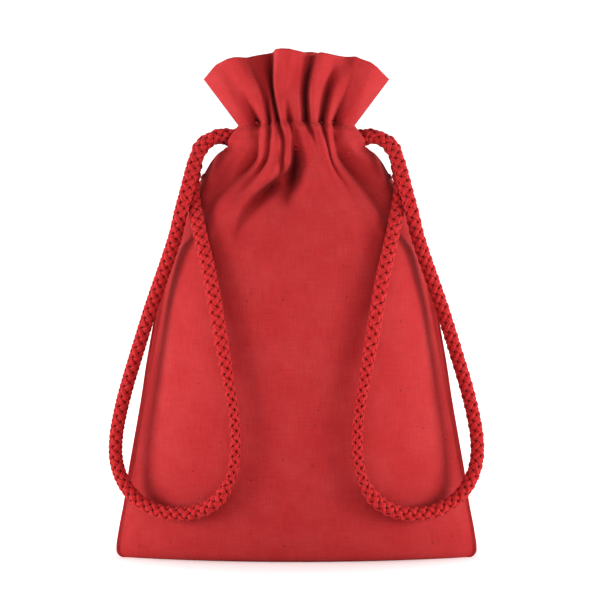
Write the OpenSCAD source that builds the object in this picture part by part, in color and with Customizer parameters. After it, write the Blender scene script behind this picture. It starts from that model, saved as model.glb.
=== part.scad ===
// Drawstring gift sack of woven cotton, standing filled, with its mouth drawn closed.
// Millimetres. Origin on the floor under the middle of the base, +Z up, front towards -Y.

/* [Sack body] */
// Width of the standing base between its corners
base_w = 133; // [128:1:138]
// Depth of the standing base at its middle
base_depth = 40; // [34:1:46]
// Depth of the filled belly at its fullest
belly_depth = 58; // [54:1:62]
// Height of the lower stitch row of the drawstring channel
channel_z = 148; // [147:1:149]
// Height where the side seams end and the cord slits begin
slit_z = 142; // [138:1:144]
// Thickness of the body cloth
cloth_t = 1; // [0.6:0.1:1.2]

/* [Drawn neck] */
// Width of the drawn neck
neck_w = 44; // [40:1:46]
// Half depth of the neck, to the middle of the channel
neck_depth = 9.8; // [9:0.2:11]
// Height of the drawstring channel between its stitch rows
channel_h = 13; // [12.5:0.5:14]
// Thickness of one ply of the channel
ply_t = 0.8; // [0.6:0.1:0.9]
// Height of the gathers across the outer ply
gather_h = 0.7; // [0:0.1:1.2]

/* [Frill] */
// Width of the frill between its side tips
frill_w = 68.4; // [60:0.4:72]
// Height of the whole sack to the tops of the middle flutes
total_h = 188.6; // [184:0.2:192]
// Height of the frill's side tips
tip_z = 176.6; // [174:0.2:180]
// Thickness of the doubled cloth of the frill
frill_t = 1.4; // [1:0.1:1.6]

/* [Cords] */
// Diameter of a cord where it hangs free
cord_d = 5; // [4:0.2:5.4]
// Diameter of a cord squeezed inside the channel
held_d = 3.8; // [3:0.2:3.8]

/* [Hidden] */

cloth_red = [0.78, 0.16, 0.17];
inner_red = [0.62, 0.10, 0.11];
cord_red = [0.70, 0.10, 0.12];
thread_red = [0.85, 0.45, 0.45];

// Half width of the body as a share of the base's, against the share of the channel's height
side_profile = [
    [0, 0.997], [0.07, 0.991], [0.14, 0.958], [0.28, 0.908], [0.39, 0.863], [0.48, 0.836], [0.56, 0.791],
    [0.64, 0.772], [0.73, 0.722], [0.82, 0.66], [0.89, 0.591], [0.95, 0.519], [0.98, 0.485], [1, 0.43]
];
// Shares of the way from the base's depth to the belly's and on to the neck's, at the same heights
belly_profile = [
    [0, 0], [0.1, 0.36], [0.2, 0.67], [0.33, 0.92], [0.47, 1], [0.6, 0.92], [0.73, 0.62], [1, 0]
];
neck_share = [[0, 0], [0.47, 0], [0.73, 0.08], [0.83, 0.26], [0.9, 0.5], [0.95, 0.74], [1, 1]];
// Roundness of a level's outline: 1 is a lens with sharp corners, 0.5 an ellipse
round_profile = [[0, 1], [0.2, 0.8], [0.47, 0.62], [0.73, 0.5], [1, 0.5]];

body_rows = 24;
body_columns = 28;
collar_columns = 48;
gathers = 8;
outer_share = 1.1;
inner_share = 0.74;
gap = 0.3;
floor_t = 1;
bow = 5;
half_neck = neck_w / 2;
seam_depth = 6;
seam_t = 0.8;
cord_sides = 8;

function half_width(z) = base_w / 2 * lookup(z / channel_z, side_profile);
function half_depth(z) = let (s = z / channel_z, k = lookup(s, neck_share))
    (base_depth / 2 + (belly_depth - base_depth) / 2 * lookup(s, belly_profile)) * (1 - k)
    + (neck_depth + ply_t) * k;
// Depth of a level's outline at share t of its half width, for an outline inset by the cloth
function outline(z, t, inset) =
    (half_depth(z) - inset) * pow(max(0, 1 - t * t), lookup(z / channel_z, round_profile));
// Half the opening of the cord slit, between the ends of the two panels' side edges
function slit(z) = 3 * max(0, (z - slit_z) / (channel_z - slit_z));
function body_point(z, t, inset, side) =
    let (s = slit(z))
    [t * (half_width(z) - inset), side * (0.1 + s + outline(z, t, inset) * (1 - s / half_depth(z))), z];

// Levels of the body, close together near the shoulder
function body_level(i) = floor_t + (channel_z - gap - floor_t) * (1 - pow(1 - i / body_rows, 1.5));
function body_grid(inset, side) = [
    for (i = [0:body_rows]) [
        for (j = [0:body_columns]) body_point(body_level(i), -cos(180 * j / body_columns), inset, side)
    ]
];

// Middle of the channel seen from above: a shallow bow from slit to slit
function bow_y(x) = -(neck_depth - bow * pow(x / half_neck, 2));
function gather(x) = gather_h * (1 - cos(360 * gathers * (x + half_neck) / neck_w)) / 2;
// Half the room between the plies, pinched at both stitch rows
function channel_room(z) = 0.4 + 2.8 * sin(180 * (z - channel_z) / channel_h);
// The inner ply stops short of the slit, where the cords turn
function ply_grid(side, out, extra) = let (w = neck_w * (out > 0 ? outer_share : inner_share)) [
    for (i = [0:8]) let (z = channel_z + gap + (channel_h - 2 * gap) * i / 8) [
        for (j = [0:collar_columns]) let (x = w * (j / collar_columns - 0.5))
            [x, side * (-bow_y(x) + out * (channel_room(z) + extra + (out > 0 ? gather(x) : 0))), z]
    ]
];

// Frill: the side edges run out straight to the tips, and the top edge arches between them
function frill_top(u) = tip_z + (total_h - tip_z) * (1 - pow(abs(u), 4.5));
function frill_point(u, v, side) =
    let (w = half_neck + (frill_w - neck_w) / 2 * min(1, v * 1.02), z0 = channel_z + channel_h,
         spread = neck_depth - bow + 0.5 + (bow + 8 * v) * (1 - pow(abs(u), 2.2)))
    [u * w, side * (spread + (0.3 + 2.6 * v) * cos(360 * 2.5 * u) * (1 - pow(u, 8))),
     z0 + (frill_top(u) - z0) * v];
function frill_grid(side) = [
    for (i = [0:9]) [for (j = [0:collar_columns]) frill_point(2 * j / collar_columns - 1, i / 9, side)]
];

// Free part of the left cord: from the front channel down outside, round the bottom, and up inside to the back one
left_loop_route = [
    [-37, -8.6, 147], [-38.6, -11.2, 141.5], [-40.2, -13.4, 135], [-42.1, -14, 128], [-44, -12.6, 120],
    [-46.6, -10.4, 112], [-49.8, -8.6, 103], [-53, -7.4, 94], [-56.2, -6.9, 84], [-59.3, -6.7, 74],
    [-62.3, -6.8, 64], [-64.8, -7, 54], [-66.3, -7.4, 45], [-66.3, -8, 37.2], [-64, -9, 29.6],
    [-59.4, -11, 23.4], [-52.2, -14, 19.2], [-44, -17.5, 17.8], [-36, -20.7, 19], [-29, -24.1, 23.2],
    [-24.2, -26.9, 30.6], [-22.3, -28.7, 39.4], [-22.1, -29.6, 49], [-22.9, -29.8, 57.6], [-24.4, -29.6, 66.4],
    [-26, -29, 75], [-27.6, -28, 84], [-29.2, -26.5, 93], [-30.8, -24.5, 102], [-32.6, -22, 110],
    [-34.6, -18.5, 118], [-36.4, -14.2, 126], [-37.4, -10.4, 131], [-38, -7.2, 136], [-37.8, -4, 141],
    [-37, -1.2, 146.5]
];
// Run of the left cord through the front channel, from its loop to the turn at the far slit
left_front_route = [
    [-28, -4.8, 156], [-24, -4.8, 156.4], [-20, -5.6, 156.7], [-14, -7.8, 156.8], [-7, -9.3, 156.8],
    [0, -9.8, 156.8], [7, -9.3, 156.8], [14, -7.8, 156.8], [17, -6.9, 156.8]
];
// Its run through the back channel, on the lower level
left_back_route = [
    [-28, 4.6, 155.4], [-24, 4.8, 153.8], [-20, 5.6, 152.6], [-14, 7.8, 152.3], [-7, 9.3, 152.3],
    [0, 9.8, 152.3], [7, 9.3, 152.3], [14, 7.8, 152.3], [17, 6.9, 152.3]
];
// Its turn from the front channel to the back one
left_turn_route = [
    [17.9, -6.4, 156.8], [19.6, -5.2, 156.8], [20.8, -3, 156.2], [21.3, 0, 154.6], [20.8, 3, 152.9],
    [19.6, 5.2, 152.3], [17.9, 6.4, 152.3]
];

// Smooth curve through the route's points, with the given number of steps a stretch
function smooth(p, steps) = [
    for (i = [0:len(p) - 2], k = [0:steps - 1])
        let (a = p[max(0, i - 1)], b = p[i], c = p[i + 1], d = p[min(len(p) - 1, i + 2)], t = k / steps)
        0.5 * (2 * b + (c - a) * t + (2 * a - 5 * b + 4 * c - d) * pow(t, 2)
               + (3 * b - a - 3 * c + d) * pow(t, 3)),
    p[len(p) - 1]
];
function unit(v) = v / norm(v);
function heading(p, i) = unit(p[min(len(p) - 1, i + 1)] - p[max(0, i - 1)]);
// Cord diameter: squeezed inside the channel and full where it is free
function diameter_at(x, free_from) = held_d + (cord_d - held_d) * min(1, max(0, (x - free_from) / 3));

// Closed solid between two grids of points of the same size
module shell(near, far) {
    r = len(near);
    c = len(near[0]);
    n = r * c;
    rim = concat(
        [for (j = [0:c - 1]) j], [for (i = [1:r - 1]) i * c + c - 1],
        [for (j = [c - 2:-1:0]) (r - 1) * c + j], [for (i = [r - 2:-1:1]) i * c]
    );
    polyhedron(
        points = concat([for (row = near) each row], [for (row = far) each row]),
        faces = concat(
            [for (i = [0:r - 2], j = [0:c - 2]) each [
                [i * c + j, (i + 1) * c + j, (i + 1) * c + j + 1],
                [i * c + j, (i + 1) * c + j + 1, i * c + j + 1],
                [n + i * c + j, n + (i + 1) * c + j + 1, n + (i + 1) * c + j],
                [n + i * c + j, n + i * c + j + 1, n + (i + 1) * c + j + 1]
            ]],
            [for (k = [0:len(rim) - 1]) let (a = rim[k], b = rim[(k + 1) % len(rim)]) each [
                [a, b, n + b], [a, n + b, n + a]
            ]]
        ),
        convexity = 8
    );
}

// Each sheet has its near grid on the side that its winding faces
module sheet(outer, inner, side) {
    if (side < 0) shell(outer, inner);
    else shell(inner, outer);
}

// Round tube along a path; ref is a direction that the path never follows
module tube(path, ref, diameters) {
    m = cord_sides;
    last = len(path) - 1;
    polyhedron(
        points = [
            for (i = [0:last])
                let (t = heading(path, i), a = unit(cross(t, ref)), b = cross(t, a))
                for (k = [0:m - 1])
                    path[i] + diameters[i] / 2 * (a * cos(360 * k / m) + b * sin(360 * k / m))
        ],
        faces = concat(
            [for (i = [0:last - 1], k = [0:m - 1]) let (q = (k + 1) % m) each [
                [i * m + k, (i + 1) * m + k, (i + 1) * m + q], [i * m + k, (i + 1) * m + q, i * m + q]
            ]],
            [[for (k = [0:m - 1]) k], [for (k = [m - 1:-1:0]) last * m + k]]
        ),
        convexity = 8
    );
}

module panel(side) {
    color(cloth_red) sheet(body_grid(0, side), body_grid(cloth_t, side), side);
}

module base_cloth() {
    n = 40;
    rim = [for (i = [0:n - 1]) body_point(floor_t, -cos(360 * i / n), 0, sin(360 * i / n) < 0 ? -1 : 1)];
    color(inner_red) linear_extrude(floor_t) polygon([for (p = rim) [p.x, p.y]]);
}

// Seam allowance turned inside, a narrow strip down the side
function seam_grid(side, y) = [
    for (i = [0:12]) let (z = 4 + (slit_z - 6) * i / 12) [
        for (k = [0, 1]) [side * (half_width(z) - cloth_t - 0.5 - seam_depth * k), y, z]
    ]
];
module side_seam(side) {
    near = seam_grid(side, -seam_t / 2);
    far = seam_grid(side, seam_t / 2);
    color(inner_red) if (side < 0) shell(near, far); else shell(far, near);
}

// Close zigzag of thread where the side seam ends under the slit
module bar_tack(side) {
    z = slit_z - 1;
    color(thread_red) translate([side * (half_width(z) + 0.9), 0, z]) cube([0.8, 3.2, 1.6], center = true);
}

module channel_ply(side, out) {
    near = ply_grid(side, out, ply_t);
    far = ply_grid(side, out, 0);
    color(out > 0 ? cloth_red : inner_red) if (side * out < 0) shell(near, far); else shell(far, near);
}

module frill(side) {
    mid = frill_grid(side);
    r = len(mid);
    c = len(mid[0]);
    normals = [for (i = [0:r - 1]) [for (j = [0:c - 1])
        let (across = mid[i][min(c - 1, j + 1)] - mid[i][max(0, j - 1)])
        let (up = mid[min(r - 1, i + 1)][j] - mid[max(0, i - 1)][j])
        unit(cross(across, up))]];
    near = [for (i = [0:r - 1]) [for (j = [0:c - 1]) mid[i][j] + frill_t / 2 * normals[i][j]]];
    far = [for (i = [0:r - 1]) [for (j = [0:c - 1]) mid[i][j] - frill_t / 2 * normals[i][j]]];
    color(cloth_red) shell(near, far);
}

// One stitch on each gather of the outer ply
module stitch_row(side, z) {
    pitch = neck_w / gathers;
    color(thread_red) for (i = [0:gathers - 1]) {
        x = (i + 0.5) * pitch - half_neck;
        y = -bow_y(x) + channel_room(z) + ply_t + gather_h + 0.4;
        slope = atan(2 * bow * x / pow(half_neck, 2));
        translate([x, side * y, z]) rotate(-side * slope) cube([1.8, 0.5, 0.5], center = true);
    }
}

module run(route, own_side) {
    path = smooth(route, 3);
    diameters = [for (p = path) diameter_at(max(0, p.x * own_side), half_neck * outer_share + 0.3)];
    color(cord_red) tube(path, [0, 0, 1], diameters);
}

module turn(route) {
    path = smooth(route, 3);
    color(cord_red) tube(path, [0, 0, 1], [for (p = path) held_d]);
}

module loop(route) {
    path = smooth(route, 2);
    color(cord_red) tube(path, [0, 1, 0], [for (p = path) cord_d]);
}

panel(-1);  // front_panel
panel(1);  // back_panel
base_cloth();  // base
side_seam(-1);  // left_side_seam
side_seam(1);  // right_side_seam
bar_tack(-1);  // left_bar_tack
bar_tack(1);  // right_bar_tack
channel_ply(-1, 1);  // front_channel_outer
channel_ply(-1, -1);  // front_channel_inner
frill(-1);  // front_frill
stitch_row(-1, channel_z + 0.9);  // front_lower_stitching
stitch_row(-1, channel_z + channel_h - 0.9);  // front_upper_stitching
channel_ply(1, 1);  // back_channel_outer
channel_ply(1, -1);  // back_channel_inner
frill(1);  // back_frill
stitch_row(1, channel_z + 0.9);  // back_lower_stitching
stitch_row(1, channel_z + channel_h - 0.9);  // back_upper_stitching
run(left_front_route, -1);  // left_cord_front_run
run(left_back_route, -1);  // left_cord_back_run
turn(left_turn_route);  // left_cord_turn
loop(left_loop_route);  // left_cord_loop
// The right cord is the left one turned half way round, so that the two pass each other in the channels
rotate(180) run(left_back_route, -1);  // right_cord_front_run
rotate(180) run(left_front_route, -1);  // right_cord_back_run
rotate(180) turn(left_turn_route);  // right_cord_turn
mirror([1, 0, 0]) loop(left_loop_route);  // right_cord_loop
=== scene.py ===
"""Fabric gift sack: a filled cotton drawstring sack with its mouth drawn closed.

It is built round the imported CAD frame. Lengths in the cloth, cord and seam code are in millimetres, and
become metres when a mesh is made.
"""
import math

import bpy
import numpy as np
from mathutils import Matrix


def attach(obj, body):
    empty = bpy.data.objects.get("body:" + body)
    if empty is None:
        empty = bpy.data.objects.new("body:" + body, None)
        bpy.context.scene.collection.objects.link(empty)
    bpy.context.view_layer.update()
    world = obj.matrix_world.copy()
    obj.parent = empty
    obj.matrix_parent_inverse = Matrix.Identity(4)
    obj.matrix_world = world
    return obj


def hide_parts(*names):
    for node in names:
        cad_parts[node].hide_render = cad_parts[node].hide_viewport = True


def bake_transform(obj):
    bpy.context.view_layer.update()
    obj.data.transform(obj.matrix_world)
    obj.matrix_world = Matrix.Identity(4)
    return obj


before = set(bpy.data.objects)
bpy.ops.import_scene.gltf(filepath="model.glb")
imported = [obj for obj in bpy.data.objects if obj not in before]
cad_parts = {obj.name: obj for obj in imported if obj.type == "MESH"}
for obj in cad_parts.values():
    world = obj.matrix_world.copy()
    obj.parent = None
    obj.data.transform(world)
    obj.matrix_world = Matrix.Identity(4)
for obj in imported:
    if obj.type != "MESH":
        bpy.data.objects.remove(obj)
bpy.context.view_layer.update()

MM = 0.001
SIDES = {"front": -1, "back": 1}
HANDS = {-1: "left", 1: "right"}


# ---------------------------------------------------------------- small mathematics

def smoothstep(x, low=0.0, high=1.0):
    t = np.clip((x - low) / (high - low), 0, 1)
    return t * t * (3 - 2 * t)


def hermite(at, knots, values):
    """Smooth curve through values at knots, read at the places in at."""
    at = np.asarray(at, float)
    knots = np.asarray(knots, float)
    values = np.asarray(values, float).reshape(len(knots), -1)
    slopes = np.gradient(values, knots, axis=0)
    k = np.clip(np.searchsorted(knots, at, side="right") - 1, 0, len(knots) - 2)
    h = (knots[k + 1] - knots[k])[:, None]
    t = (at - knots[k])[:, None] / h
    return ((2 * t**3 - 3 * t**2 + 1) * values[k] + (t**3 - 2 * t**2 + t) * h * slopes[k]
            + (-2 * t**3 + 3 * t**2) * values[k + 1] + (t**3 - t**2) * h * slopes[k + 1])


def soften(values, sigma):
    """Gaussian smoothing along the first axis, with the ends held."""
    reach = int(3 * sigma) + 1
    kernel = np.exp(-0.5 * (np.arange(-reach, reach + 1) / sigma) ** 2)
    kernel /= kernel.sum()
    first = 2 * values[:1] - values[reach:0:-1]
    last = 2 * values[-1:] - values[-2:-reach - 2:-1]
    padded = np.concatenate([first, values, last])
    return np.stack([np.convolve(padded[:, c], kernel, "valid") for c in range(values.shape[1])], axis=1)


def unit(v):
    return v / np.maximum(np.linalg.norm(v, axis=-1, keepdims=True), 1e-12)


def run_along(line):
    """The length of a line of points from its start to each point."""
    return np.concatenate([[0], np.cumsum(np.linalg.norm(np.diff(line, axis=0), axis=1))])


def read_at(places, run, values):
    """Rows of three values between the given ones, at places along a run."""
    return np.stack([np.interp(places, run, values[:, c]) for c in range(3)], axis=1)


# ---------------------------------------------------------------- the sack's form, in millimetres

CHANNEL_Z = 148.0         # about where the lower stitch row lies
BASE_ROUND = 2.8          # radius of the fold between a panel and the base
HELD_COVER = 2.0          # from the middle of a held cord to the cloth over it
CORD_ROOM = 2.7           # from the middle of a free cord to the cloth behind it
FOLD_REACH = 9.0          # how far the pleats run down from the lower stitch row
HELD_HEIGHTS = (156.6, 152.5)   # about where the two cords lie in a channel
SPREAD = 22.0             # how far from the middle the cords run at their deepest bow
CLOTH_THICK = 0.45
FRILL_THICK = 0.8         # the frill is doubled cloth
LINING_THICK = 0.4        # the turned-in hem and the base
SEAM_OPENS = 141.5        # height where the side seams end and the slits begin
EDGE_POWER = 40           # how narrowly a seam pinches the side edge
FREE_CLIMBS = (0.80, 0.84, 0.88)   # last levels that the collar doesn't shape
# height, half width, half depth and roundness (1 a lens with sharp corners, 0.5 an ellipse) of the body
LEVELS = np.array([
    (0, 66.6, 17.6, 1), (4, 66.7, 19.4, 0.98), (10, 65.9, 21.6, 0.96), (20, 64.0, 24.2, 0.93),
    (32, 62.2, 26.6, 0.89), (45, 59.9, 28.2, 0.85), (60, 57.3, 29.0, 0.8), (72, 55.5, 29.0, 0.75),
    (84, 53.4, 28.5, 0.69), (96, 51.4, 27.4, 0.63), (108, 48.2, 25.6, 0.57), (120, 44.2, 23.2, 0.53),
    (130, 40.3, 20.6, 0.51), (138, 36.3, 17.9, 0.5), (143, 33.4, 16.0, 0.5), (147, 30.9, 14.4, 0.5),
    (149.5, 28.6, 13.4, 0.5), (151.4, 25.6, 13.0, 0.5), (156, 23.5, 12.0, 0.5),
])
# Each fold across a collar: its place across the cloth from -1 to 1, then its point at the frill's top
# edge (x, y, z), half way up the frill (x, y), at the neck (x, y), in the middle of the channel (x, depth
# in front of the cords) and at the lower stitch row (x, y, z). Odd rows are ridges, even rows are valleys,
# and -y is outwards.
FOLDS = [
    (-1.00, (-34.2, -1.0, 176.6), (-27.9, -3.4), (-21.4, -4.4), (-25.0, 1.4), (-25.4, -4.0, 151.4)),
    (-0.86, (-29.4, -7.6, 181.9), (-23.4, -9.6), (-17.4, -8.6), (-19.2, 3.4), (-20.6, -9.4, 149.6)),
    (-0.74, (-26.2, -10.6, 183.4), (-19.2, -10.6), (-13.7, -3.8), (-13.9, 0.0), (-14.6, -5.5, 147.8)),
    (-0.62, (-22.0, -13.4, 184.4), (-14.7, -12.8), (-11.4, -10.6), (-11.6, 3.4), (-12.6, -11.6, 147.2)),
    (-0.53, (-18.2, -11.0, 184.2), (-12.3, -7.4), (-9.8, -6.0), (-10.0, 0.8), (-10.9, -9.6, 147.0)),
    (-0.42, (-13.6, -6.8, 185.4), (-10.2, -8.0), (-8.2, -10.8), (-7.5, 3.8), (-8.4, -14.2, 146.6)),
    (-0.30, (-8.6, -2.4, 186.4), (-8.8, -2.4), (-6.8, -5.0), (-5.1, 0.2), (-5.6, -10.0, 146.2)),
    (-0.18, (-7.5, -17.0, 187.3), (-7.8, -13.4), (-4.8, -11.8), (-2.9, 3.6), (-3.6, -14.6, 146.0)),
    (-0.08, (-2.0, -18.6, 187.0), (-3.8, -14.4), (-2.7, -7.4), (-0.9, 0.0), (-0.7, -5.0, 146.0)),
    (0.05, (2.4, -15.4, 186.1), (0.8, -12.6), (0.8, -11.8), (3.3, 4.2), (3.8, -15.4, 145.6)),
    (0.18, (6.2, -9.4, 185.0), (3.4, -2.8), (3.5, -4.2), (6.4, 2.6), (8.0, -15.2, 145.8)),
    (0.30, (8.2, -16.6, 186.0), (5.8, -13.6), (6.4, -11.8), (9.0, 3.8), (11.2, -14.4, 146.2)),
    (0.42, (14.2, -12.6, 184.8), (11.9, -4.6), (9.2, -4.4), (10.9, 1.0), (12.6, -11.0, 146.6)),
    (0.54, (18.4, -9.0, 184.6), (14.0, -10.6), (11.5, -10.8), (12.0, 3.2), (13.6, -12.0, 147.0)),
    (0.66, (21.6, -10.8, 184.7), (18.0, -8.8), (13.5, -4.4), (13.9, 0.0), (15.4, -6.0, 147.8)),
    (0.84, (27.4, -9.8, 182.6), (23.2, -9.8), (17.2, -8.8), (19.0, 3.4), (21.0, -9.6, 149.6)),
    (1.00, (34.2, -1.0, 176.6), (27.9, -3.4), (21.4, -4.4), (25.0, 1.4), (25.4, -4.0, 151.4)),
]
FOLD_U = np.array([fold[0] for fold in FOLDS])
NECK_Z = 161.2
NECK_DROP = 1.6           # how much lower the neck is at its sides
CHANNEL_MIDDLE_Z = 154.4
LEDGE = 1.0               # how far the gathers stand out under the neck, and the neck is drawn in
TOP, HALF_WAY, NECK, MIDDLE, LOW = 1, 2, 3, 4, 5   # places in a row of FOLDS
BACK_SEED = 21
BACK_SHIFT = 0.5          # how far a fold of the back collar may stray from the front one's place
# Creases pressed into the panels: points (x, z, depth), then the widths of the steep and the gentle side,
# and how far the steep side's ridge stands proud, as a share of the depth. The steep side is on the right
# of someone who walks along the points.
FRONT_CREASES = [
    ([(-0.6, 153, 2.0), (-0.4, 149.5, 4.0), (-0.5, 145.4, 5.2), (-2.6, 142.2, 5.8), (-6.3, 139.2, 6.6),
      (-10.9, 136.6, 6.6), (-15.4, 132.9, 5.6), (-18.6, 129.1, 4.0), (-20.5, 125, 2.7), (-21.4, 120.4, 1.5),
      (-20.9, 115, 0.0)], 2.1, 4.8, 0.36),
    ([(-8.0, 149, 0.8), (-12.5, 144.2, 1.4), (-16.8, 139.4, 1.4), (-20.4, 134.6, 0.9), (-23.5, 129.4, 0.4),
      (-25.5, 124, 0.0)], 2.0, 2.4, 0.25),
    ([(8.6, 150, 0.0), (13.4, 142, 0.5), (20, 133, 0.7), (26.5, 123, 0.4), (30, 114, 0.0)], 4.0, 5.0, 0.2),
]
BACK_CREASES = [
    ([(20.5, 118, 0), (18.6, 126, 1.6), (13.5, 134, 3), (6.4, 141, 3.8), (3.3, 148, 3)], 2.2, 5.5, 0.4),
    ([(-7.2, 149, 1.8), (-12, 142, 1.6), (-19, 134, 1.0), (-25, 126, 0.0)], 2.2, 3.4, 0.3),
    ([(14.2, 148, 1.6), (21, 142, 1.2), (28, 134, 0.6), (32, 128, 0.0)], 2.0, 3.4, 0.2),
]
# Long creases where the shoulders fall back: points (x, z, drop beyond the crease)
SHOULDERS = {
    -1: [
        (-15.6, 153, 0.6), (-20.3, 147.4, 1.6), (-24.6, 139.8, 2.6), (-28.4, 132.4, 3.2), (-31, 125.8, 3.6),
        (-33.8, 121, 3.8), (-37.4, 118.2, 3.6), (-42, 115, 3.2), (-45, 109.2, 2.8), (-46.9, 100.8, 2.4),
        (-47.8, 91.6, 1.9), (-48.2, 80.5, 1.3), (-48.8, 65.8, 0.7), (-51, 50, 0.0),
    ],
    1: [
        (13.2, 153, 0.8), (15.6, 146.4, 1.8), (19, 140.6, 2.4), (23.4, 135, 2.8), (28, 129.4, 3.2),
        (32.6, 123.6, 3.5), (37.4, 118.4, 3.5), (42, 114.6, 3.2), (45, 109, 2.8), (46.9, 100.6, 2.4),
        (47.8, 91.4, 1.9), (48.2, 80.5, 1.3), (48.8, 65.8, 0.7), (51, 50, 0.0),
    ],
}
OVERHANG = 0.45           # how far a steep side leans over its crease, as a share of how proud it stands
SHOULDER_DROP = 0.68      # share of the listed drop that a shoulder takes
SHOULDER_CREST = 0.22     # how far the near side of a shoulder's crease stands proud, as a share of the drop
UNEVEN = 0.5              # height of the gentle waves in the filled cloth
WAVELENGTHS = (24, 31, 43, 57, 38, 19)
WAVE_SEEDS = {"front": 3, "back": 5}

STITCHES = 40             # in each row round a collar
STITCH_RADIUS = 0.13
THREAD_SIDES = 6
STITCH_GAP = 0.42         # share of the pitch left between two stitches
STITCH_GROOVE = 0.12      # how deep a stitch row draws the cloth in
TURNED_IN = 0.5           # least share of a cloth's normal that faces front or back where a stitch shows
SEAM_ALLOWANCE = 6.0
SEAM_INSET = 0.7          # from the side edge to the outer edge of the seam allowance
SEAM_FLAT = 0.85          # how much the seam allowance flattens the sides
SEAM_REACH = 6.0          # and how far in from the side edge
OVERLOCK_RADIUS = 0.14
OVERLOCK_TURNS = 70
BAR_TACK_Z = 141.0
BAR_TACK_HEIGHT = 1.7
BAR_TACK_TURNS = 9
BAR_TACK_RADIUS = 0.17

PANEL_COLUMNS = 264
PANEL_ROWS = 150
CHANNEL_ROWS = 16
FRILL_ROWS = 44
BASE_ROWS = 36
across = np.linspace(-1, 1, PANEL_COLUMNS + 1)


def smooth_level(z, column):
    return hermite(np.atleast_1d(z), LEVELS[:, 0], LEVELS[:, column])[:, 0]


def fold_rows(place, side):
    """Folds of one side: the back collar is the front one from behind, with its folds shifted a little."""
    rows = np.array([fold[place] for fold in FOLDS], float)
    if side == "back":
        jitter = np.random.default_rng(BACK_SEED + place)
        inner = slice(1, len(rows) - 1)
        rows[inner, 0] += jitter.uniform(-BACK_SHIFT, BACK_SHIFT, len(rows) - 2)
        rows[inner, 1] += jitter.uniform(-BACK_SHIFT, BACK_SHIFT, len(rows) - 2)
        if place in (TOP, HALF_WAY):
            rows[inner, 1] = 0.55 * rows[inner, 1] + 0.45 * soften(rows[:, 1:2], 1.5)[inner, 0]
    return rows


def pleats(rows, spread_power=1.3, depth_power=1.6, smoothing=1.6, edge_power=1.25):
    """Rounded ridges with narrow valleys between them, through the fold points."""
    k = np.clip(np.searchsorted(FOLD_U, across, side="right") - 1, 0, len(FOLD_U) - 2)
    s = (across - FOLD_U[k]) / (FOLD_U[k + 1] - FOLD_U[k])
    ridge = np.where(k % 2 == 1, k, k + 1)
    valley = np.where(k % 2 == 1, k + 1, k)
    r = np.where(k % 2 == 1, s, 1 - s)[:, None]
    edge = ((valley == 0) | (valley == len(FOLD_U) - 1))[:, None]
    spread = np.where(edge, 1 - (1 - r) ** edge_power, 1 - (1 - r) ** spread_power)
    depth = np.where(edge, r ** (0.55 + edge_power), r ** depth_power)
    share = np.concatenate([spread, depth, spread], axis=1)[:, :rows.shape[1]]
    out = rows[ridge] + (rows[valley] - rows[ridge]) * share
    return soften(out, smoothing)


def with_z(points, z):
    return np.column_stack([points, np.broadcast_to(z, len(points))])


def neck_curve(side):
    return with_z(pleats(fold_rows(NECK, side)), NECK_Z - NECK_DROP * across ** 2)


def bow(x):
    """Middle of the front channel, where the cords run."""
    return -(9.8 - 5 * (np.minimum(np.abs(x), SPREAD) / SPREAD) ** 2)


def collar(side):
    """The curves that a collar passes through: lower stitch row, middle of the channel, and neck."""
    low = pleats(fold_rows(LOW, side))
    middle = with_z(pleats(fold_rows(MIDDLE, side)), CHANNEL_MIDDLE_Z)
    middle[:, 1] = bow(middle[:, 0]) - HELD_COVER - middle[:, 1]
    return low, middle, neck_curve(side)


def nearest_on(line, x, z):
    """Looks from each place (x, z) for the nearest point of a line of points (x, z, value).

    Gives the distance to it, a number whose sign tells the side of the line, the offset from it in x and
    in z, and the line's value there.
    """
    line = np.array(line, float)
    best = np.full(x.shape, 1e9)
    found = np.zeros((4,) + x.shape)
    for a, b in zip(line[:-1], line[1:]):
        d = b[:2] - a[:2]
        t = np.clip(((x - a[0]) * d[0] + (z - a[1]) * d[1]) / (d @ d), 0, 1)
        px, pz = x - a[0] - t * d[0], z - a[1] - t * d[1]
        distance = np.hypot(px, pz)
        nearer = distance < best
        best = np.where(nearer, distance, best)
        found = np.where(nearer, (d[0] * pz - d[1] * px, px, pz, a[2] + t * (b[2] - a[2])), found)
    return best, *found


def bump_at(distance, middle, width):
    """A smooth bump, 1 high where the distance is that of its middle."""
    return np.exp(-(((distance - middle) / width) ** 2))


def press(points, creases):
    """Pushes creases into a surface whose front is towards -y."""
    for line, steep, gentle, proud in creases:
        best, side, away_x, away_z, depth = nearest_on(line, points[..., 0], points[..., 2])
        right = side < 0
        push = bump_at(best, 0, np.where(right, steep, gentle))
        push -= np.where(right, proud * bump_at(best, 2.3 * steep, 1.4 * steep), 0)
        lean = np.where(right, OVERHANG * proud * depth * bump_at(best, 1.6 * steep, steep), 0)
        lean /= np.maximum(best, 0.4)
        points[..., 0] -= away_x * lean
        points[..., 2] -= away_z * lean
        points[..., 1] += depth * push
    return points


def undulate(x, z, seed):
    """Gentle unevenness of filled cloth."""
    draw = np.random.default_rng(seed)
    total = np.zeros(x.shape)
    for wavelength in WAVELENGTHS:
        angle, phase = draw.uniform(0, math.pi), draw.uniform(0, 2 * math.pi)
        total += np.sin((x * math.cos(angle) + z * math.sin(angle)) * 2 * math.pi / wavelength + phase)
    return UNEVEN * total / len(WAVELENGTHS)


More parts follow.
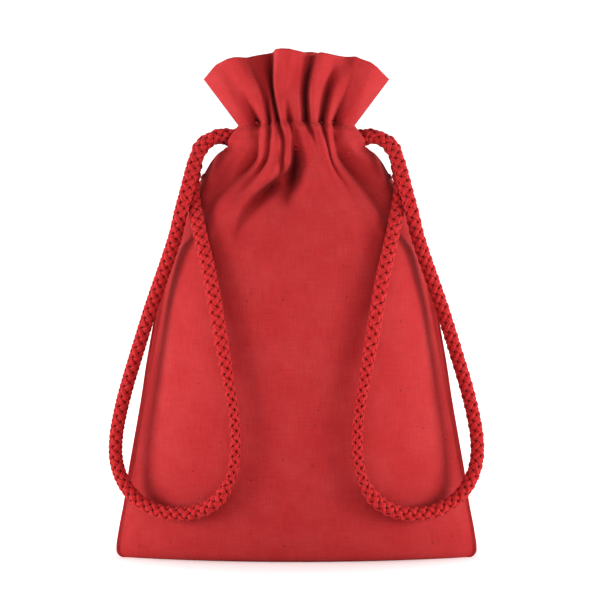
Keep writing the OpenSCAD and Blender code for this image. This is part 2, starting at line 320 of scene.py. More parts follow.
def shoulder_crease(points, line, hand):
    """Steps the cloth back beyond a long crease, on the side away from the middle."""
    best, side, _, _, drop = nearest_on(line, points[..., 0], points[..., 2])
    outside = side * hand > 0
    step = np.where(outside, (1 - np.exp(-(best / 1.1) ** 1.5)) * np.exp(-best / 11), 0)
    crest = np.where(outside, 0, bump_at(best, 2.4, 2.2))
    room = np.clip(-points[..., 1] - 0.5, 0, None)
    points[..., 1] += np.minimum(SHOULDER_DROP * drop * step, 0.75 * room)
    points[..., 1] -= SHOULDER_CREST * drop * crest * smoothstep(room, 0, 4)
    return points


def base_inset(z):
    """How far the rounded fold at the base draws the cloth in."""
    return BASE_ROUND - np.sqrt(BASE_ROUND ** 2 - np.clip(BASE_ROUND - z, 0, BASE_ROUND) ** 2)


def body_row(climb, low, low_broad):
    """One level of the body, at a share of the way from the base up to the lower stitch row."""
    z = low_broad[:, 2] * climb
    inset = base_inset(z)
    half_w, half_d, roundness = (smooth_level(z, c) for c in (1, 2, 3))
    ellipse = np.clip((1 - roundness) / 0.5, 0, 1)
    t = (1 - ellipse) * across + ellipse * np.sin(math.pi / 2 * across)
    near = np.clip((climb - 0.66) / 0.34, 0, 1)
    gathered = near ** 2.2
    t = t * (1 - gathered) + gathered * low_broad[:, 0] / low_broad[-1, 0]
    x = t * (half_w - inset)
    lens = -(half_d - inset) * np.clip(1 - t * t, 0, 1) ** roundness
    from_edge = (1 - np.abs(t)) * half_w
    flat = SEAM_FLAT * smoothstep(z, 12, 38) * (1 - smoothstep(z, 95, 125))
    lens *= 1 - flat * bump_at(from_edge, 0, SEAM_REACH)
    settle = near ** 3
    closed = np.abs(across) ** EDGE_POWER * (1 - smoothstep(z, SEAM_OPENS, 150))
    y = (lens * (1 - settle) + low_broad[:, 1] * settle) * (1 - closed)
    fade = np.exp(-(((low_broad[:, 2] - z) / FOLD_REACH) ** 1.3))
    detail = (low - low_broad) * fade[:, None]
    return np.stack([x, y, z], axis=1) + detail


def body_climbs():
    """Shares of the height at which the body's levels lie: close together near the base and the collar."""
    first = BASE_ROUND / CHANNEL_Z
    corner = first * (1 - np.cos(math.pi / 2 * np.arange(6) / 6))
    rest = 1 - (1 - np.linspace(0, 1, PANEL_ROWS - 5)) ** 1.25
    return np.concatenate([corner, first + (1 - first) * rest])


def outer_cloth(side):
    """One side's cloth from the base up to the neck, in one piece: its body and its channel's outer ply."""
    low, middle, neck = collar(side)
    low_broad = soften(low, 9)
    low_broad[0], low_broad[-1] = low[0], low[-1]
    keys = [body_row(climb, low, low_broad) for climb in FREE_CLIMBS] + [low, middle, neck]
    knots = FREE_CLIMBS + (1.0, CHANNEL_MIDDLE_Z / CHANNEL_Z, NECK_Z / CHANNEL_Z)
    climbs = np.concatenate([body_climbs(), np.linspace(1, knots[-1], CHANNEL_ROWS + 1)[1:]])
    free = climbs <= FREE_CLIMBS[-1]
    body = [body_row(climb, low, low_broad) for climb in climbs[free]]
    gathered = hermite(climbs[~free], knots, np.array(keys).reshape(len(keys), -1))
    points = np.concatenate([np.array(body), gathered.reshape(-1, len(across), 3)])
    z = points[..., 2]
    edge_z = z[:, -1]
    edge_x = smooth_level(edge_z, 1) - base_inset(edge_z)
    wider = np.where(edge_z < low[-1, 2], edge_x / points[:, -1, 0], 1)
    points[..., 0] *= 1 + (wider - 1)[:, None] * np.abs(across) ** 4
    seam = np.abs(across)[None, :] ** EDGE_POWER * (1 - smoothstep(z, SEAM_OPENS, 150.5)) * (z < 152)
    points[..., 1] *= 1 - seam
    inner = (1 - np.abs(across) ** 6)[None, :] * smoothstep(z, 2, 14) * (1 - smoothstep(z, 140, 150))
    points[..., 1] += inner * undulate(points[..., 0], z, WAVE_SEEDS[side])
    points = press(points, FRONT_CREASES if side == "front" else BACK_CREASES)
    for hand, line in SHOULDERS.items():
        points = shoulder_crease(points, line, hand)
    if side == "front":
        points = rest_under_cords(points)
    points[..., 1] += STITCH_GROOVE * bump_at(points[..., 2], low[:, 2], 0.7)
    points = cover_cords(points)
    points[-1] = neck
    below = neck[:, 2] - points[..., 2]
    points[..., 1] -= ledge() * bump_at(below, 2.2, 1.2)
    points[..., 1] += ledge() * bump_at(below, 0, 0.9)
    points[..., 1] = np.minimum(points[..., 1], -0.05)
    return points


def ledge():
    """How far the ledge under the neck stands out, across the cloth: it dies away at the sides."""
    return LEDGE * (1 - np.abs(across) ** 8)


def rest_under_cords(points):
    """Cloth gives way softly under the cords' free loops, and never stands through them."""
    loop = np.array(LOOP_ROUTE) / MM
    line = hermite(np.linspace(0, len(loop) - 1, 500), np.arange(len(loop)), loop)
    line = np.concatenate([line, line * (-1, 1, 1)])
    push = np.zeros(points.shape[:2])
    x, y, z = points[..., 0], points[..., 1], points[..., 2]
    for px, py, pz in line:
        away = (x - px) ** 2 + (z - pz) ** 2
        under = away < CORD_ROOM ** 2
        floor = py + np.sqrt(CORD_ROOM ** 2 - away[under])
        push[under] = np.maximum(push[under], floor - y[under])
    for _ in range(2):
        spread = soften(soften(push, 1.6).T, 3.2).T
        push = np.maximum(push, spread)
    points[..., 1] += soften(soften(push, 0.6).T, 1.0).T
    return points


def cover_cords(points):
    """Keeps a channel's cloth in front of the two cords that run in it."""
    x, y, z = points[..., 0], points[..., 1], points[..., 2]
    for height in HELD_HEIGHTS:
        inside = np.clip(HELD_COVER ** 2 - (z - height) ** 2, 0, None)
        y = np.where(inside > 0, np.minimum(y, bow(x) - np.sqrt(inside)), y)
    points[..., 1] = y
    high = slice(PANEL_ROWS - 6, None)
    for _ in range(3):
        y = points[high, :, 1].copy()
        points[high, :, 1][1:-1] = (y[:-2] + 2 * y[1:-1] + y[2:]) / 4
    return points


def frill(side):
    """One side's frill, from the neck up to its top edge."""
    neck = neck_curve(side)
    neck[:, 1] += ledge()
    half_rows, top_rows = fold_rows(HALF_WAY, side), fold_rows(TOP, side)
    top = pleats(top_rows, 1.2, 1.15, 3.0, 1.0)
    top[:, 2] = soften(np.interp(across, FOLD_U, top_rows[:, 2])[:, None], 2.0)[:, 0]
    half = pleats(half_rows, 1.3, 1.5, 2.0, 1.1)
    half = np.concatenate([half, (neck[:, 2:] + top[:, 2:]) / 2], axis=1)
    half[[0, -1]] = (neck[[0, -1]] + top[[0, -1]]) / 2
    values = np.stack([neck.ravel(), half.ravel(), top.ravel()])
    rows = hermite(np.linspace(0, 1, FRILL_ROWS + 1), (0, 0.5, 1), values)
    return rows.reshape(FRILL_ROWS + 1, len(across), 3)


def channel_inner():
    """The turned-in hem behind the cords, softly ruffled."""
    rows = []
    for v in np.linspace(0, 1, CHANNEL_ROWS + 1):
        x = across * (16.5 + 1.5 * (2 * v - 1) ** 2)
        z = 147.5 + (NECK_Z - 147.9) * v
        belly = bow(x) + 0.9 + 2.9 * math.sin(math.pi * v)
        ruffle = 0.7 * np.sin(across * 34) + 0.4 * np.sin(across * 57 + 1)
        tucked = 6.2 * bump_at(x, -0.7, 2.1) * (1 - smoothstep(z, 149, 152))
        rows.append(np.stack([x, belly + ruffle + tucked, np.full(len(x), z)], axis=1))
    return np.array(rows)


def base_cloth():
    """The cloth under the sack, from its back edge to its front edge, with its outer face down."""
    edge = outer_cloth("front")[0]
    return np.array([edge * (1, y, 1) for y in np.linspace(-1, 1, BASE_ROWS + 1)])


# ---------------------------------------------------------------- meshes

UV_UNIT = 100.0           # mm of cloth in one unit of its uv layer


def grid_normals(points):
    du = np.gradient(points, axis=1)
    dv = np.gradient(points, axis=0)
    return unit(np.cross(du, dv))


def new_object(name, data):
    obj = bpy.data.objects.new(name, data)
    bpy.context.collection.objects.link(obj)
    return obj


def mesh_object(name, vertices, faces, uvs):
    """A smooth mesh from vertices in mm, with one uv for each vertex."""
    mesh = bpy.data.meshes.new(name)
    mesh.from_pydata((np.asarray(vertices) * MM).tolist(), [], faces)
    mesh.update()
    mesh.polygons.foreach_set("use_smooth", [True] * len(mesh.polygons))
    layer = mesh.uv_layers.new(name="cloth")
    index = np.empty(len(mesh.loops), np.int32)
    mesh.loops.foreach_get("vertex_index", index)
    layer.data.foreach_set("uv", np.asarray(uvs, np.float32)[index].ravel())
    return new_object(name, mesh)


def cloth_object(name, points, thickness, flat, turn=1):
    """Closed cloth: the grid is its outer face, and flat is its cut size.

    thickness is one number, or one for each row. turn is -1 where the grid's own normals point inwards.
    """
    rows, columns = points.shape[:2]
    inner = points - grid_normals(points) * np.reshape(thickness, (-1, 1, 1)) * turn
    vertices = np.concatenate([points.reshape(-1, 3), inner.reshape(-1, 3)])
    n = rows * columns
    i, j = np.meshgrid(np.arange(rows - 1), np.arange(columns - 1), indexing="ij")
    a = (i * columns + j).ravel()
    outer_faces = np.stack([a, a + 1, a + columns + 1, a + columns], axis=1)
    inner_faces = np.stack([a, a + columns, a + columns + 1, a + 1], axis=1) + n
    rim = np.concatenate([np.arange(columns), np.arange(1, rows) * columns + columns - 1,
                          (rows - 1) * columns + np.arange(columns - 2, -1, -1),
                          np.arange(rows - 2, 0, -1) * columns])
    after = np.roll(rim, -1)
    rim_faces = np.stack([rim, rim + n, after + n, after], axis=1)
    faces = np.concatenate([outer_faces, inner_faces, rim_faces])[:, ::turn]
    u = np.tile(np.linspace(0, flat[0], columns), rows)
    climb = np.concatenate([[0], np.linalg.norm(np.diff(points, axis=0), axis=2).mean(1).cumsum()])
    v = np.repeat(climb / climb[-1] * flat[1], columns)
    uvs = np.tile(np.stack([u, v], axis=1), (2, 1)) / UV_UNIT
    return mesh_object(name, vertices, faces.tolist(), uvs)


def turned(points, side):
    """A sheet worked out for the front, placed at its own side."""
    return points if side == "front" else points * (-1, -1, 1)


# ---------------------------------------------------------------- materials

THREADS_PER_UNIT = 240    # of the uv layer, so 24 threads cross 10 mm
SPECKLESS = 0.68          # share of the cells of cotton that have no seed speck


def new_material(name):
    material = bpy.data.materials.new(name)
    material.use_nodes = True
    tree = material.node_tree
    tree.nodes.clear()
    output = tree.nodes.new("ShaderNodeOutputMaterial")
    shader = tree.nodes.new("ShaderNodeBsdfPrincipled")
    tree.links.new(shader.outputs[0], output.inputs[0])
    return material, tree, shader


def put(tree, socket, value):
    """Sets a node's input to a number or colour, or links another node's output to it."""
    if isinstance(value, bpy.types.NodeSocket):
        tree.links.new(value, socket)
    else:
        socket.default_value = value


def node(tree, kind, *inputs, **settings):
    """A node with its settings and its named inputs, and with its first inputs in order."""
    made = tree.nodes.new(kind)
    for key, value in settings.items():
        if key in made.inputs:
            put(tree, made.inputs[key], value)
        else:
            setattr(made, key, value)
    for socket, value in zip(made.inputs, inputs):
        put(tree, socket, value)
    return made


def math_node(tree, operation, *inputs):
    return node(tree, "ShaderNodeMath", *inputs, operation=operation).outputs[0]


def mix_colour(tree, factor, a, b):
    made = node(tree, "ShaderNodeMix", factor, data_type="RGBA")
    put(tree, made.inputs[6], a)
    put(tree, made.inputs[7], b)
    return made.outputs[2]


def ramp(tree, factor, low, high, value_low=0.0, value_high=1.0):
    made = node(tree, "ShaderNodeMapRange", factor, low, high, value_low, value_high,
                interpolation_type="SMOOTHSTEP")
    return made.outputs[0]


def coloured(tree, shader, tone, height, strength, distance, roughness, sheen):
    """Finishes a cloth or yarn shader: its colour, its bump, and a soft sheen (weight, roughness, tint)."""
    tree.links.new(tone, shader.inputs["Base Color"])
    bump = node(tree, "ShaderNodeBump", Strength=strength, Distance=distance, Height=height)
    tree.links.new(bump.outputs[0], shader.inputs["Normal"])
    settings = {"Roughness": roughness, "Specular IOR Level": 0.25, "Sheen Weight": sheen[0],
                "Sheen Roughness": sheen[1], "Sheen Tint": sheen[2]}
    for key, value in settings.items():
        shader.inputs[key].default_value = value


def cotton(name, colour, dark):
    """Plain woven cotton: threads over and under, slubs along both ways, and dark seed specks."""
    material, tree, shader = new_material(name)
    uv = node(tree, "ShaderNodeUVMap", uv_map="cloth")
    split = node(tree, "ShaderNodeSeparateXYZ", uv.outputs[0])
    threads = THREADS_PER_UNIT * math.pi
    warp = math_node(tree, "SINE", math_node(tree, "MULTIPLY", split.outputs[0], threads))
    weft = math_node(tree, "SINE", math_node(tree, "MULTIPLY", split.outputs[1], threads))
    crossing = math_node(tree, "MULTIPLY", warp, weft)
    thread_height = math_node(tree, "ADD", math_node(tree, "ABSOLUTE", warp),
                              math_node(tree, "ABSOLUTE", weft))
    woven = math_node(tree, "ADD", math_node(tree, "MULTIPLY", crossing, 0.5), thread_height)

    def streaks(along_u, along_v, detail=2.0):
        mapping = node(tree, "ShaderNodeMapping", uv.outputs[0], Scale=(along_u, along_v, 1))
        noise = node(tree, "ShaderNodeTexNoise", mapping.outputs[0], Scale=1.0, Detail=detail, Roughness=0.6)
        return noise.outputs[0]

    slub = math_node(tree, "ADD", streaks(230, 14), streaks(14, 230))
    blotch = streaks(7, 7, 4.0)
    tone = mix_colour(tree, ramp(tree, slub, 0.7, 1.3), dark, colour)
    tone = mix_colour(tree, ramp(tree, blotch, 0.35, 0.7, 0.0, 0.03), tone, (1, 0.3, 0.28, 1))
    specks = node(tree, "ShaderNodeTexVoronoi", uv.outputs[0], voronoi_dimensions="2D", Scale=9.0,
                  Randomness=1.0)
    chosen = node(tree, "ShaderNodeSeparateColor", specks.outputs["Color"])
    near = ramp(tree, specks.outputs["Distance"], 0.016, 0.034, 1.0, 0.0)
    rare = math_node(tree, "GREATER_THAN", chosen.outputs[0], SPECKLESS)
    speck = math_node(tree, "MULTIPLY", near, rare)
    tone = mix_colour(tree, math_node(tree, "MULTIPLY", speck, 0.9), tone, (0.10, 0.008, 0.012, 1))
    height = math_node(tree, "ADD", math_node(tree, "MULTIPLY", woven, 0.5),
                       math_node(tree, "MULTIPLY", slub, 0.9))
    coloured(tree, shader, tone, height, 0.35, 0.00012, 0.88, (0.06, 0.45, (1, 0.55, 0.52, 1)))
    return material


def yarn(name, colour, dark, plies=5):
    """Soft cotton yarn: plies along each strand and fibres, with painted shade between the plies, on each
    strand's face towards the cord's middle and where a strand dips under another.
    """
    material, tree, shader = new_material(name)
    uv = node(tree, "ShaderNodeUVMap", uv_map="cloth")
    split = node(tree, "ShaderNodeSeparateXYZ", uv.outputs[0])
    slant = math_node(tree, "ADD", math_node(tree, "MULTIPLY", split.outputs[0], plies),
                      math_node(tree, "MULTIPLY", split.outputs[1], 1.3))
    ply = math_node(tree, "ABSOLUTE", math_node(tree, "SINE", math_node(tree, "MULTIPLY", slant, math.pi)))
    place = node(tree, "ShaderNodeTexCoord").outputs["Object"]
    fibres = node(tree, "ShaderNodeTexNoise", place, Scale=2600.0, Detail=2.0, Roughness=0.6)
    patch = node(tree, "ShaderNodeTexNoise", place, Scale=500.0, Detail=2.0)
    # Painted shade: a strand is coloured darker on its face towards the cord's middle and where it dips
    # under another, from the share of light stored on the cord's vertices.
    painted_lighting = node(tree, "ShaderNodeAttribute", attribute_name="painted_lighting")
    lit_share = ramp(tree, painted_lighting.outputs["Fac"], 0.36, 1.0)
    # Painted shade between the plies of each strand.
    ply_shade = ramp(tree, ply, 0.05, 0.55, 0.45, 1.0)
    tone = mix_colour(tree, math_node(tree, "MULTIPLY", lit_share, ply_shade), dark, colour)
    faded = ramp(tree, patch.outputs[0], 0.35, 0.75, 0.0, 0.05)
    tone = mix_colour(tree, faded, tone, (0.95, 0.20, 0.20, 1))
    height = math_node(tree, "ADD", math_node(tree, "MULTIPLY", ply, 0.7), fibres.outputs[0])
    coloured(tree, shader, tone, height, 0.7, 0.00025, 0.85, (0.08, 0.5, (1, 0.5, 0.48, 1)))
    return material


# ---------------------------------------------------------------- cords

# The left cord's free loop, and the bends that join it to its runs, in metres. It leaves the front channel,
# goes down the outer strand, along the bottom and up the inner strand, and enters the back channel.
LOOP_ROUTE = [
    (-0.037, -0.0086, 0.147), (-0.0386, -0.0112, 0.1415), (-0.0402, -0.0134, 0.135),
    (-0.0421, -0.014, 0.128), (-0.044, -0.0126, 0.12), (-0.0466, -0.0104, 0.112), (-0.0498, -0.0086, 0.103),
    (-0.053, -0.0074, 0.094), (-0.0562, -0.0069, 0.084), (-0.0593, -0.0067, 0.074),
    (-0.0623, -0.0068, 0.064), (-0.0648, -0.007, 0.054), (-0.0663, -0.0074, 0.045),
    (-0.0663, -0.008, 0.0372), (-0.064, -0.009, 0.0296), (-0.0594, -0.011, 0.0234),
    (-0.0522, -0.014, 0.0192), (-0.044, -0.0175, 0.0178), (-0.036, -0.0207, 0.019),
    (-0.029, -0.0241, 0.0232), (-0.0242, -0.0269, 0.0306),
    (-0.0223, -0.0287, 0.0394), (-0.0221, -0.0296, 0.049), (-0.0229, -0.0298, 0.0576),
    (-0.0244, -0.0296, 0.0664), (-0.026, -0.029, 0.075), (-0.0276, -0.028, 0.084), (-0.0292, -0.0265, 0.093),
    (-0.0308, -0.0245, 0.102), (-0.0326, -0.022, 0.11), (-0.0346, -0.0185, 0.118), (-0.0364, -0.0142, 0.126),
    (-0.0374, -0.0104, 0.131), (-0.038, -0.0072, 0.136), (-0.0378, -0.004, 0.141), (-0.037, -0.0012, 0.1465),
]
FRONT_BEND = [(-0.0308, -0.0051, 0.1549), (-0.0334, -0.0058, 0.1529), (-0.0354, -0.007, 0.1502)]
BACK_BEND = [(-0.0364, 0.0009, 0.1502), (-0.0347, 0.0027, 0.153), (-0.0318, 0.004, 0.1547)]
# The left cord's run through the front channel, above the other cord, and through the back one, below it
UPPER_RUN = [
    (-0.028, -0.0048, 0.156), (-0.024, -0.0048, 0.1564), (-0.02, -0.0056, 0.1567),
    (-0.014, -0.0078, 0.1568), (-0.007, -0.0093, 0.1568), (0, -0.0098, 0.1568), (0.007, -0.0093, 0.1568),
    (0.014, -0.0078, 0.1568), (0.017, -0.0069, 0.1568),
]
LOWER_RUN = [
    (-0.028, 0.0046, 0.1554), (-0.024, 0.0048, 0.1538), (-0.02, 0.0056, 0.1526), (-0.014, 0.0078, 0.1523),
    (-0.007, 0.0093, 0.1523), (0, 0.0098, 0.1523), (0.007, 0.0093, 0.1523), (0.014, 0.0078, 0.1523),
    (0.017, 0.0069, 0.1523),
]
# Its turn from one channel to the other at the far slit
HALF_TURN = [
    (0.0179, -0.0064, 0.1568), (0.0196, -0.0052, 0.1568), (0.0208, -0.003, 0.1562), (0.0213, 0, 0.1546),
]
OTHER_HALF_TURN = [(0.0208, 0.003, 0.1529), (0.0196, 0.0052, 0.1523), (0.0179, 0.0064, 0.1523)]

CORD_D = 5.0
HELD_D = 3.8              # inside the channels
PRESSED_D = 3.2           # where the gathers press the cord
STRANDS = 8
STRAND_RADIUS = 1.74      # from the cord's middle to the middle of a strand
STRAND_LIFT = 0.42        # how far a strand rises and dips where it passes over and under
STRAND_WIDE = 0.98        # half the width of a strand
STRAND_THICK = 0.60       # half its thickness
BRAID_PITCH = 15.0        # length in which a strand winds once round the cord
STRAND_VERTICES = 10      # round each strand
CORD_STEP = 0.55
JOIN_X = 29.0             # how far from the middle the loop's piece takes over from the run's
TURN_X = 17.5             # and the run's piece from the turn's


def half_way_round(route):
    return [(-x, -y, z) for x, y, z in route]


def cord_line(hand):
    """The whole closed cord as one line of points, from the middle of its turn round to it again.

    hand is -1 for the left cord. The right cord's free loop mirrors the left one's, and its runs are the
    left ones turned half way round, so that the two cords pass each other in the channels.
    """
    loop = FRONT_BEND + LOOP_ROUTE + BACK_BEND
    if hand < 0:
        front_turn = HALF_TURN[::-1]
        front_run = UPPER_RUN[::-1]
        back_run = LOWER_RUN
        back_turn = OTHER_HALF_TURN[::-1] + HALF_TURN[-1:]
    else:
        loop = [(-x, y, z) for x, y, z in loop]
        front_turn = half_way_round(HALF_TURN[-1:] + OTHER_HALF_TURN)
        front_run = half_way_round(LOWER_RUN[::-1])
        back_run = half_way_round(UPPER_RUN)
        back_turn = half_way_round(HALF_TURN)
    corners = np.array(front_turn + front_run + loop + back_run + back_turn) / MM
    chord = run_along(corners)
    fine = hermite(np.linspace(0, chord[-1], 4000), chord, corners)
    run = run_along(fine)
    return read_at(np.linspace(0, run[-1], int(run[-1] / CORD_STEP)), run, fine)


def carried_frames(line):
    """Two directions across the line at each point, carried along it without twist."""
    tangent = unit(np.gradient(line, axis=0))
    first = np.zeros_like(line)
    first[0] = unit(np.cross(tangent[0], (0.3, 0.2, 1.0)))
    for i in range(1, len(line)):
        carried = first[i - 1] - tangent[i] * (first[i - 1] @ tangent[i])
        first[i] = carried / np.linalg.norm(carried)
    return first, np.cross(tangent, first)


def tube_faces(base, count, sides):
    """Faces of a closed tube whose vertices start at base: count of them along each of its sides."""
    index = np.arange(count - 1)
    faces = []
    for k in range(sides):
        here, after = base + k * count + index, base + (k + 1) % sides * count + index
        faces.extend(np.stack([here, here + 1, after + 1, after], axis=1).tolist())
    faces.append([base + k * count for k in range(sides)])
    faces.append([base + k * count + count - 1 for k in range(sides - 1, -1, -1)])
    return faces


def braid(name, line, frames, start, stop, diameter):
    """Braided cord along part of a line: strands wind both ways and pass over and under each other."""
    first, second = (f[start:stop] for f in frames)
    centre = line[start:stop]
    scale = (diameter[start:stop] / CORD_D)[:, None]
    s = np.arange(start, stop) * CORD_STEP
    count = stop - start
    ring = -math.pi / 2 + np.arange(STRAND_VERTICES) * 2 * math.pi / STRAND_VERTICES
    vertices, faces, uvs, painted_lighting = [], [], [], []
    for strand in range(STRANDS):
        way = 1 if strand % 2 == 0 else -1
        turn = 2 * math.pi * s / BRAID_PITCH
        angle = way * turn + (strand // 2) * 2 * math.pi / (STRANDS / 2)
        over = way * np.cos(STRANDS / 2 * turn)
        out = np.cos(angle)[:, None] * first + np.sin(angle)[:, None] * second
        middle = centre + out * (STRAND_RADIUS + STRAND_LIFT * over)[:, None] * scale
        along = unit(np.gradient(middle, axis=0))
        wide = unit(np.cross(along, out))
        thick = np.cross(wide, along)
        base = len(vertices)
        for k, a in enumerate(ring):
            offset = (wide * (STRAND_WIDE * math.cos(a)) + thick * (STRAND_THICK * math.sin(a))) * scale
            vertices.extend((middle + offset).tolist())
            u = np.full(count, k / STRAND_VERTICES)
            uvs.extend(np.stack([u, s * 0.1 + strand * 0.37], axis=1).tolist())
            # Share of painted light stored on each vertex: lower on a strand's face towards the cord's
            # middle and where it dips under another, for the painted shade there.
            painted_lighting.extend((0.5 + 0.22 * over + 0.38 * math.sin(a)).tolist())
        faces.extend(tube_faces(base, count, STRAND_VERTICES))
    obj = mesh_object(name, vertices, faces, uvs)
    layer = obj.data.attributes.new("painted_lighting", "FLOAT", "POINT")
    layer.data.foreach_set("value", np.clip(painted_lighting, 0, 1).astype(np.float32))
    return obj


def cord_diameter(line, hand):
    """The cord's diameter along its line: squeezed inside the channels, and full outside its own slit."""
    free = smoothstep(line[:, 0] * hand, 23.5, 27.5)
    pressed = HELD_D + (PRESSED_D - HELD_D) * (1 - smoothstep(np.abs(line[:, 0]), 15.5, 19.5))
    return pressed + (CORD_D - pressed) * free


def make_cord(hand, material):
    """One closed cord in five pieces, in place of the CAD cord parts that it hides."""
    name = HANDS[hand]
    line = cord_line(hand)
    frames = carried_frames(line)
    diameter = cord_diameter(line, hand)
    outside = line[:, 0] * hand > JOIN_X
    loop_start, loop_stop = np.argmax(outside), len(outside) - np.argmax(outside[::-1])
    beyond = -line[:, 0] * hand > TURN_X
    turn_stop = np.argmin(beyond)
    turn_start = len(beyond) - np.argmin(beyond[::-1])
    parts = {
        "front_turn": (0, turn_stop + 1), "front_run": (turn_stop, loop_start + 1),
        "loop": (loop_start, loop_stop), "back_run": (loop_stop - 1, turn_start + 1),
        "back_turn": (turn_start, len(line)),
    }
    pieces = {}
    for part, (start, stop) in parts.items():
        piece = braid(f"{name}_braid_{part}", line, frames, start, stop, diameter)
        piece.data.materials.append(material)
        pieces[part] = piece
    for side, y in SIDES.items():
        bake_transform(pieces[f"{side}_run"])
        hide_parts(f"{name}_cord_{side}_run")
        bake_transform(pieces[f"{side}_turn"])
        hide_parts(f"{name}_cord_turn")
    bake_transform(pieces["loop"])
    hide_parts(f"{name}_cord_loop")


# ---------------------------------------------------------------- seams and stitches

def thread(paths, radius, name, material):
    """Round threads along paths, joined in one piece."""
    vertices, faces, uvs = [], [], []
    ring = np.arange(THREAD_SIDES) * 2 * math.pi / THREAD_SIDES
    for path in paths:
        path = np.asarray(path, float)
        first, second = carried_frames(path)
        base = len(vertices)
        count = len(path)
        run = np.linspace(0, 1, count)
        taper = np.sqrt(np.clip(1 - (2 * run - 1) ** 8, 0.05, 1))[:, None]
        for k, a in enumerate(ring):
            offset = (first * math.cos(a) + second * math.sin(a)) * radius * taper
            vertices.extend((path + offset).tolist())
            uvs.extend(np.stack([np.full(count, k / THREAD_SIDES), run], axis=1).tolist())
        faces.extend(tube_faces(base, count, THREAD_SIDES))
    piece = mesh_object(name, vertices, faces, uvs)
    piece.data.materials.append(material)
    return piece


def stitch_paths(row, normals):
    """Running stitches along a row of cloth points, each dipping in at its ends.

    Where a pleat turns in, the stitches are left out.
    """
    run = run_along(row)
    pitch = run[-1] / STITCHES
    paths = []
    for i in range(STITCHES):
        at = (i + 0.5 * STITCH_GAP + np.linspace(0, 1 - STITCH_GAP, 9)) * pitch
        middle, out = read_at(at, run, row), unit(read_at(at, run, normals))
        if np.abs(out[:, 1]).min() < TURNED_IN:
            continue
        lift = 0.16 - 0.42 * (np.linspace(-1, 1, 9) ** 4)[:, None]
        paths.append(middle + out * lift)
    return paths


def stitching(side, level, cloth, row, material):
    """One stitch row of a collar, along a row of the cloth's points."""
    points = turned(cloth, side)
    normals = grid_normals(points)
    paths = stitch_paths(points[row], normals[row])
    piece = thread(paths, STITCH_RADIUS, f"{side}_{level}_stitches", material)
    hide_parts(f"{side}_{level}_stitching")
    return piece


def edge_at(edge, z):
    """How far from the middle the side edge lies at some heights; edge is the panels' common side edge."""
    return np.interp(z, edge[:, 2], np.abs(edge[:, 0]))


def wave_at(z):
    """How the free edge of a seam allowance waves."""
    return 0.25 * np.sin(z / 3.1) + 0.18 * np.sin(z / 1.7 + 1)


def side_seam(hand, edge, cloth_material, thread_material):
    """The seam allowance inside a side edge, with its overlocked edge."""
    name = HANDS[hand]
    z = np.linspace(4, 140.5, 150)
    outer_x = edge_at(edge, z) - SEAM_INSET
    rows = []
    for share in np.linspace(0, 1, 9):
        y = -0.35 + wave_at(z) * share ** 1.5
        rows.append(np.stack([hand * (outer_x - SEAM_ALLOWANCE * share), y, z], axis=1))
    strip = cloth_object(f"{name}_seam_allowance", np.array(rows), 0.7, (SEAM_ALLOWANCE, 136), hand)
    strip.data.materials.append(cloth_material)
    t = np.linspace(0, 1, 20 * OVERLOCK_TURNS)
    z = 4.5 + 135.5 * t
    swing = np.abs(((t * OVERLOCK_TURNS) % 1) * 2 - 1)
    x = hand * (edge_at(edge, z) - SEAM_INSET - SEAM_ALLOWANCE + 2.6 * swing - 0.2)
    paths = [np.stack([x, face + wave_at(z), z], axis=1) for face in (-0.5, 0.5)]
    overlock = thread(paths, OVERLOCK_RADIUS, f"{name}_overlock", thread_material)
    for piece in (strip, overlock):
        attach(piece, "sack")
        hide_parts(f"{name}_side_seam")


def bar_tack(hand, edge, material):
    """Thread wound across the end of a side seam."""
    name = HANDS[hand]
    turns = np.linspace(0, 1, 220)
    z = BAR_TACK_Z + BAR_TACK_HEIGHT * (turns - 0.5)
    swing = turns * BAR_TACK_TURNS * 2 * math.pi
    path = np.stack([hand * (edge_at(edge, z) + 0.32), 1.5 * np.sin(swing), z], axis=1)
    path[:, 0] -= hand * 0.5 * np.sin(swing) ** 2
    tack = thread([path], BAR_TACK_RADIUS, f"{name}_tack_thread", material)
    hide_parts(f"{name}_bar_tack")
    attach(tack, "sack")


# ---------------------------------------------------------------- stage

LENS = 195                # mm, on a sensor 36 mm wide
VIEW_WIDTH = 0.2216       # metres that the picture shows at the target
VIEW_TARGET = (0.0013, 0, 0.0953)
ELEVATION = 2.0           # degrees
FLOOR_LIFT = 0.00002      # a hair above the underside of the base cloth, so that two faces don't coincide
FLOOR_GLOW = (0.03, 0.14, 0.07, 0.5)     # distances from the middle, and the glow at each
SKY_DIMMING = (0.2, 0.5, 1.03, 0.65)     # upward shares of a direction, and the sky's strength at each
LIGHT_PLACE = (1.15, -0.27, 0.2)
LIGHT_TARGET = (0, 0, 0.09)
LIGHT_SIZE = (0.5, 0.6)
LIGHT_POWER = 12.8


def aim(obj, target):
    direction = np.array(target) - np.array(obj.location)
    flat = math.hypot(direction[0], direction[1])
    obj.rotation_euler = (math.atan2(flat, -direction[2]), 0, math.atan2(-direction[0], direction[1]))


def make_camera():
    data = bpy.data.cameras.new("camera")
    data.lens = LENS
    data.sensor_width = 36
    camera = new_object("camera", data)
    elevation = math.radians(ELEVATION)
    distance = VIEW_WIDTH * data.lens / data.sensor_width
    backwards = np.array((0, -math.cos(elevation), math.sin(elevation)))
    camera.location = np.array(VIEW_TARGET) + distance * backwards
    aim(camera, VIEW_TARGET)
    bpy.context.scene.camera = camera


def area_light(name, hand):
    data = bpy.data.lights.new(name, "AREA")
    data.shape = "RECTANGLE"
    data.size, data.size_y = LIGHT_SIZE
    data.energy = LIGHT_POWER
    light = new_object(name, data)
    light.location = (hand * LIGHT_PLACE[0],) + LIGHT_PLACE[1:]
    aim(light, LIGHT_TARGET)


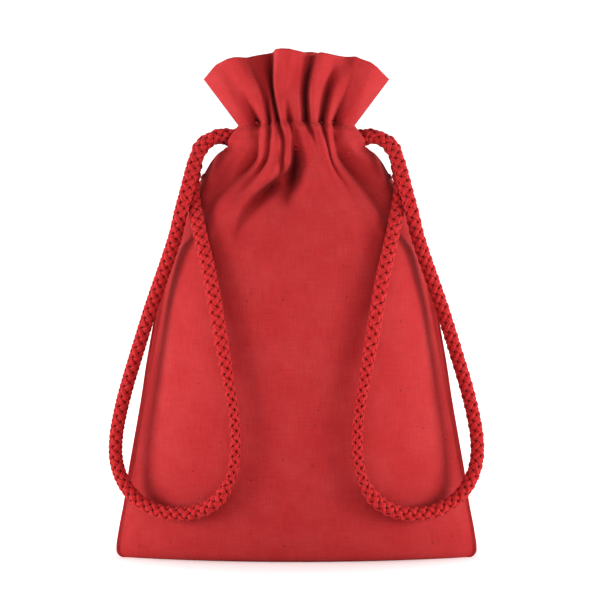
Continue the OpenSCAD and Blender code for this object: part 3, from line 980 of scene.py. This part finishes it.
def make_floor():
    """A pale floor that glows more away from the sack, as a sweep lit from behind does."""
    bpy.ops.mesh.primitive_plane_add(size=6, location=(0, 0, FLOOR_LIFT))
    floor = bpy.context.object
    floor.name = "floor"
    material, tree, shader = new_material("pale_floor")
    shader.inputs["Base Color"].default_value = (0.9, 0.9, 0.9, 1)
    shader.inputs["Roughness"].default_value = 0.9
    shader.inputs["Emission Color"].default_value = (1, 1, 1, 1)
    place = node(tree, "ShaderNodeTexCoord").outputs["Object"]
    away = node(tree, "ShaderNodeVectorMath", place, operation="LENGTH")
    glow = ramp(tree, away.outputs["Value"], *FLOOR_GLOW)
    tree.links.new(glow, shader.inputs["Emission Strength"])
    floor.data.materials.append(material)


def make_sky():
    """A white surround near the horizon, and a dimmer ceiling."""
    world = bpy.data.worlds.new("studio")
    bpy.context.scene.world = world
    world.use_nodes = True
    tree = world.node_tree
    direction = node(tree, "ShaderNodeTexCoord").outputs["Generated"]
    split = node(tree, "ShaderNodeSeparateXYZ", direction)
    background = tree.nodes["Background"]
    background.inputs[0].default_value = (1, 1, 1, 1)
    tree.links.new(ramp(tree, split.outputs[2], *SKY_DIMMING), background.inputs[1])


def make_stage():
    make_floor()
    make_sky()
    for hand, name in HANDS.items():
        area_light(f"key_{name}", hand)
    settings = bpy.context.scene.view_settings
    settings.view_transform = "Standard"
    settings.look = "Medium High Contrast"


# ---------------------------------------------------------------- assembly

# Flat cut sizes of the cloth pieces in mm, across and up, which set their uv layers
SIDE_FLAT = (140, 200)
HEM_FLAT = (44, 14)
BASE_FLAT = (133, 40)
HIGH_ROW = 3              # rows of the cloth from the neck down to the upper stitch row


def place_cloth(name, points, thickness, flat, material, replaced):
    """A sheet of cloth as a piece of the model, in place of the CAD nodes it replaces."""
    piece = cloth_object(name, points, thickness, flat)
    piece.data.materials.append(material)
    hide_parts(*replaced)
    return piece


def side_cloth(side, material):
    """One side's cloth, cut in one length: its body, the outer ply of its channel, and its frill."""
    body, ruff = outer_cloth(side), frill(side)
    points = turned(np.concatenate([body, ruff[1:]]), side)
    thickness = np.full(len(points), CLOTH_THICK)
    thickness[len(body):] += (FRILL_THICK - CLOTH_THICK) * smoothstep(np.arange(FRILL_ROWS), 0, 4)
    nodes = [f"{side}_panel", f"{side}_channel_outer", f"{side}_frill"]
    return place_cloth(f"{side}_cloth", points, thickness, SIDE_FLAT, material, nodes), body


def main():
    make_camera()
    make_stage()
    red = cotton("red_cotton", (0.365, 0.0228, 0.0248, 1), (0.31, 0.0172, 0.0195, 1))
    # A darker copy of the red cotton for the turned-in hem and the seam allowances; the darkening is painted
    # shade.
    inner = cotton("red_cotton_inside_shaded", (0.31, 0.020, 0.022, 1), (0.26, 0.015, 0.018, 1))
    # The cord's dark colour is the painted shade of its strands.
    cord_yarn = yarn("red_cord", (0.43, 0.014, 0.016, 1), (0.12, 0.002, 0.004, 1))
    for hand in HANDS:
        make_cord(hand, cord_yarn)
    sewing = yarn("red_thread", (0.46, 0.07, 0.075, 1), (0.42, 0.058, 0.06, 1), 2)
    for side, y in SIDES.items():
        cloth, body = side_cloth(side, red)
        low_row = stitching(side, "lower", body, PANEL_ROWS + 1, sewing)
        for piece in (cloth, low_row):
            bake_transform(piece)
        hem = place_cloth(f"{side}_hem", turned(channel_inner(), side), LINING_THICK, HEM_FLAT, inner,
                          [f"{side}_channel_inner"])
        high_row = stitching(side, "upper", body, len(body) - HIGH_ROW, sewing)
        for piece in (hem, high_row):
            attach(piece, f"{side}_collar")
    edge = body[:, -1]
    for hand in HANDS:
        side_seam(hand, edge, inner, sewing)
        bar_tack(hand, edge, sewing)
    base = place_cloth("base_cloth", base_cloth(), LINING_THICK, BASE_FLAT, red, ["base"])
    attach(base, "sack")


main()
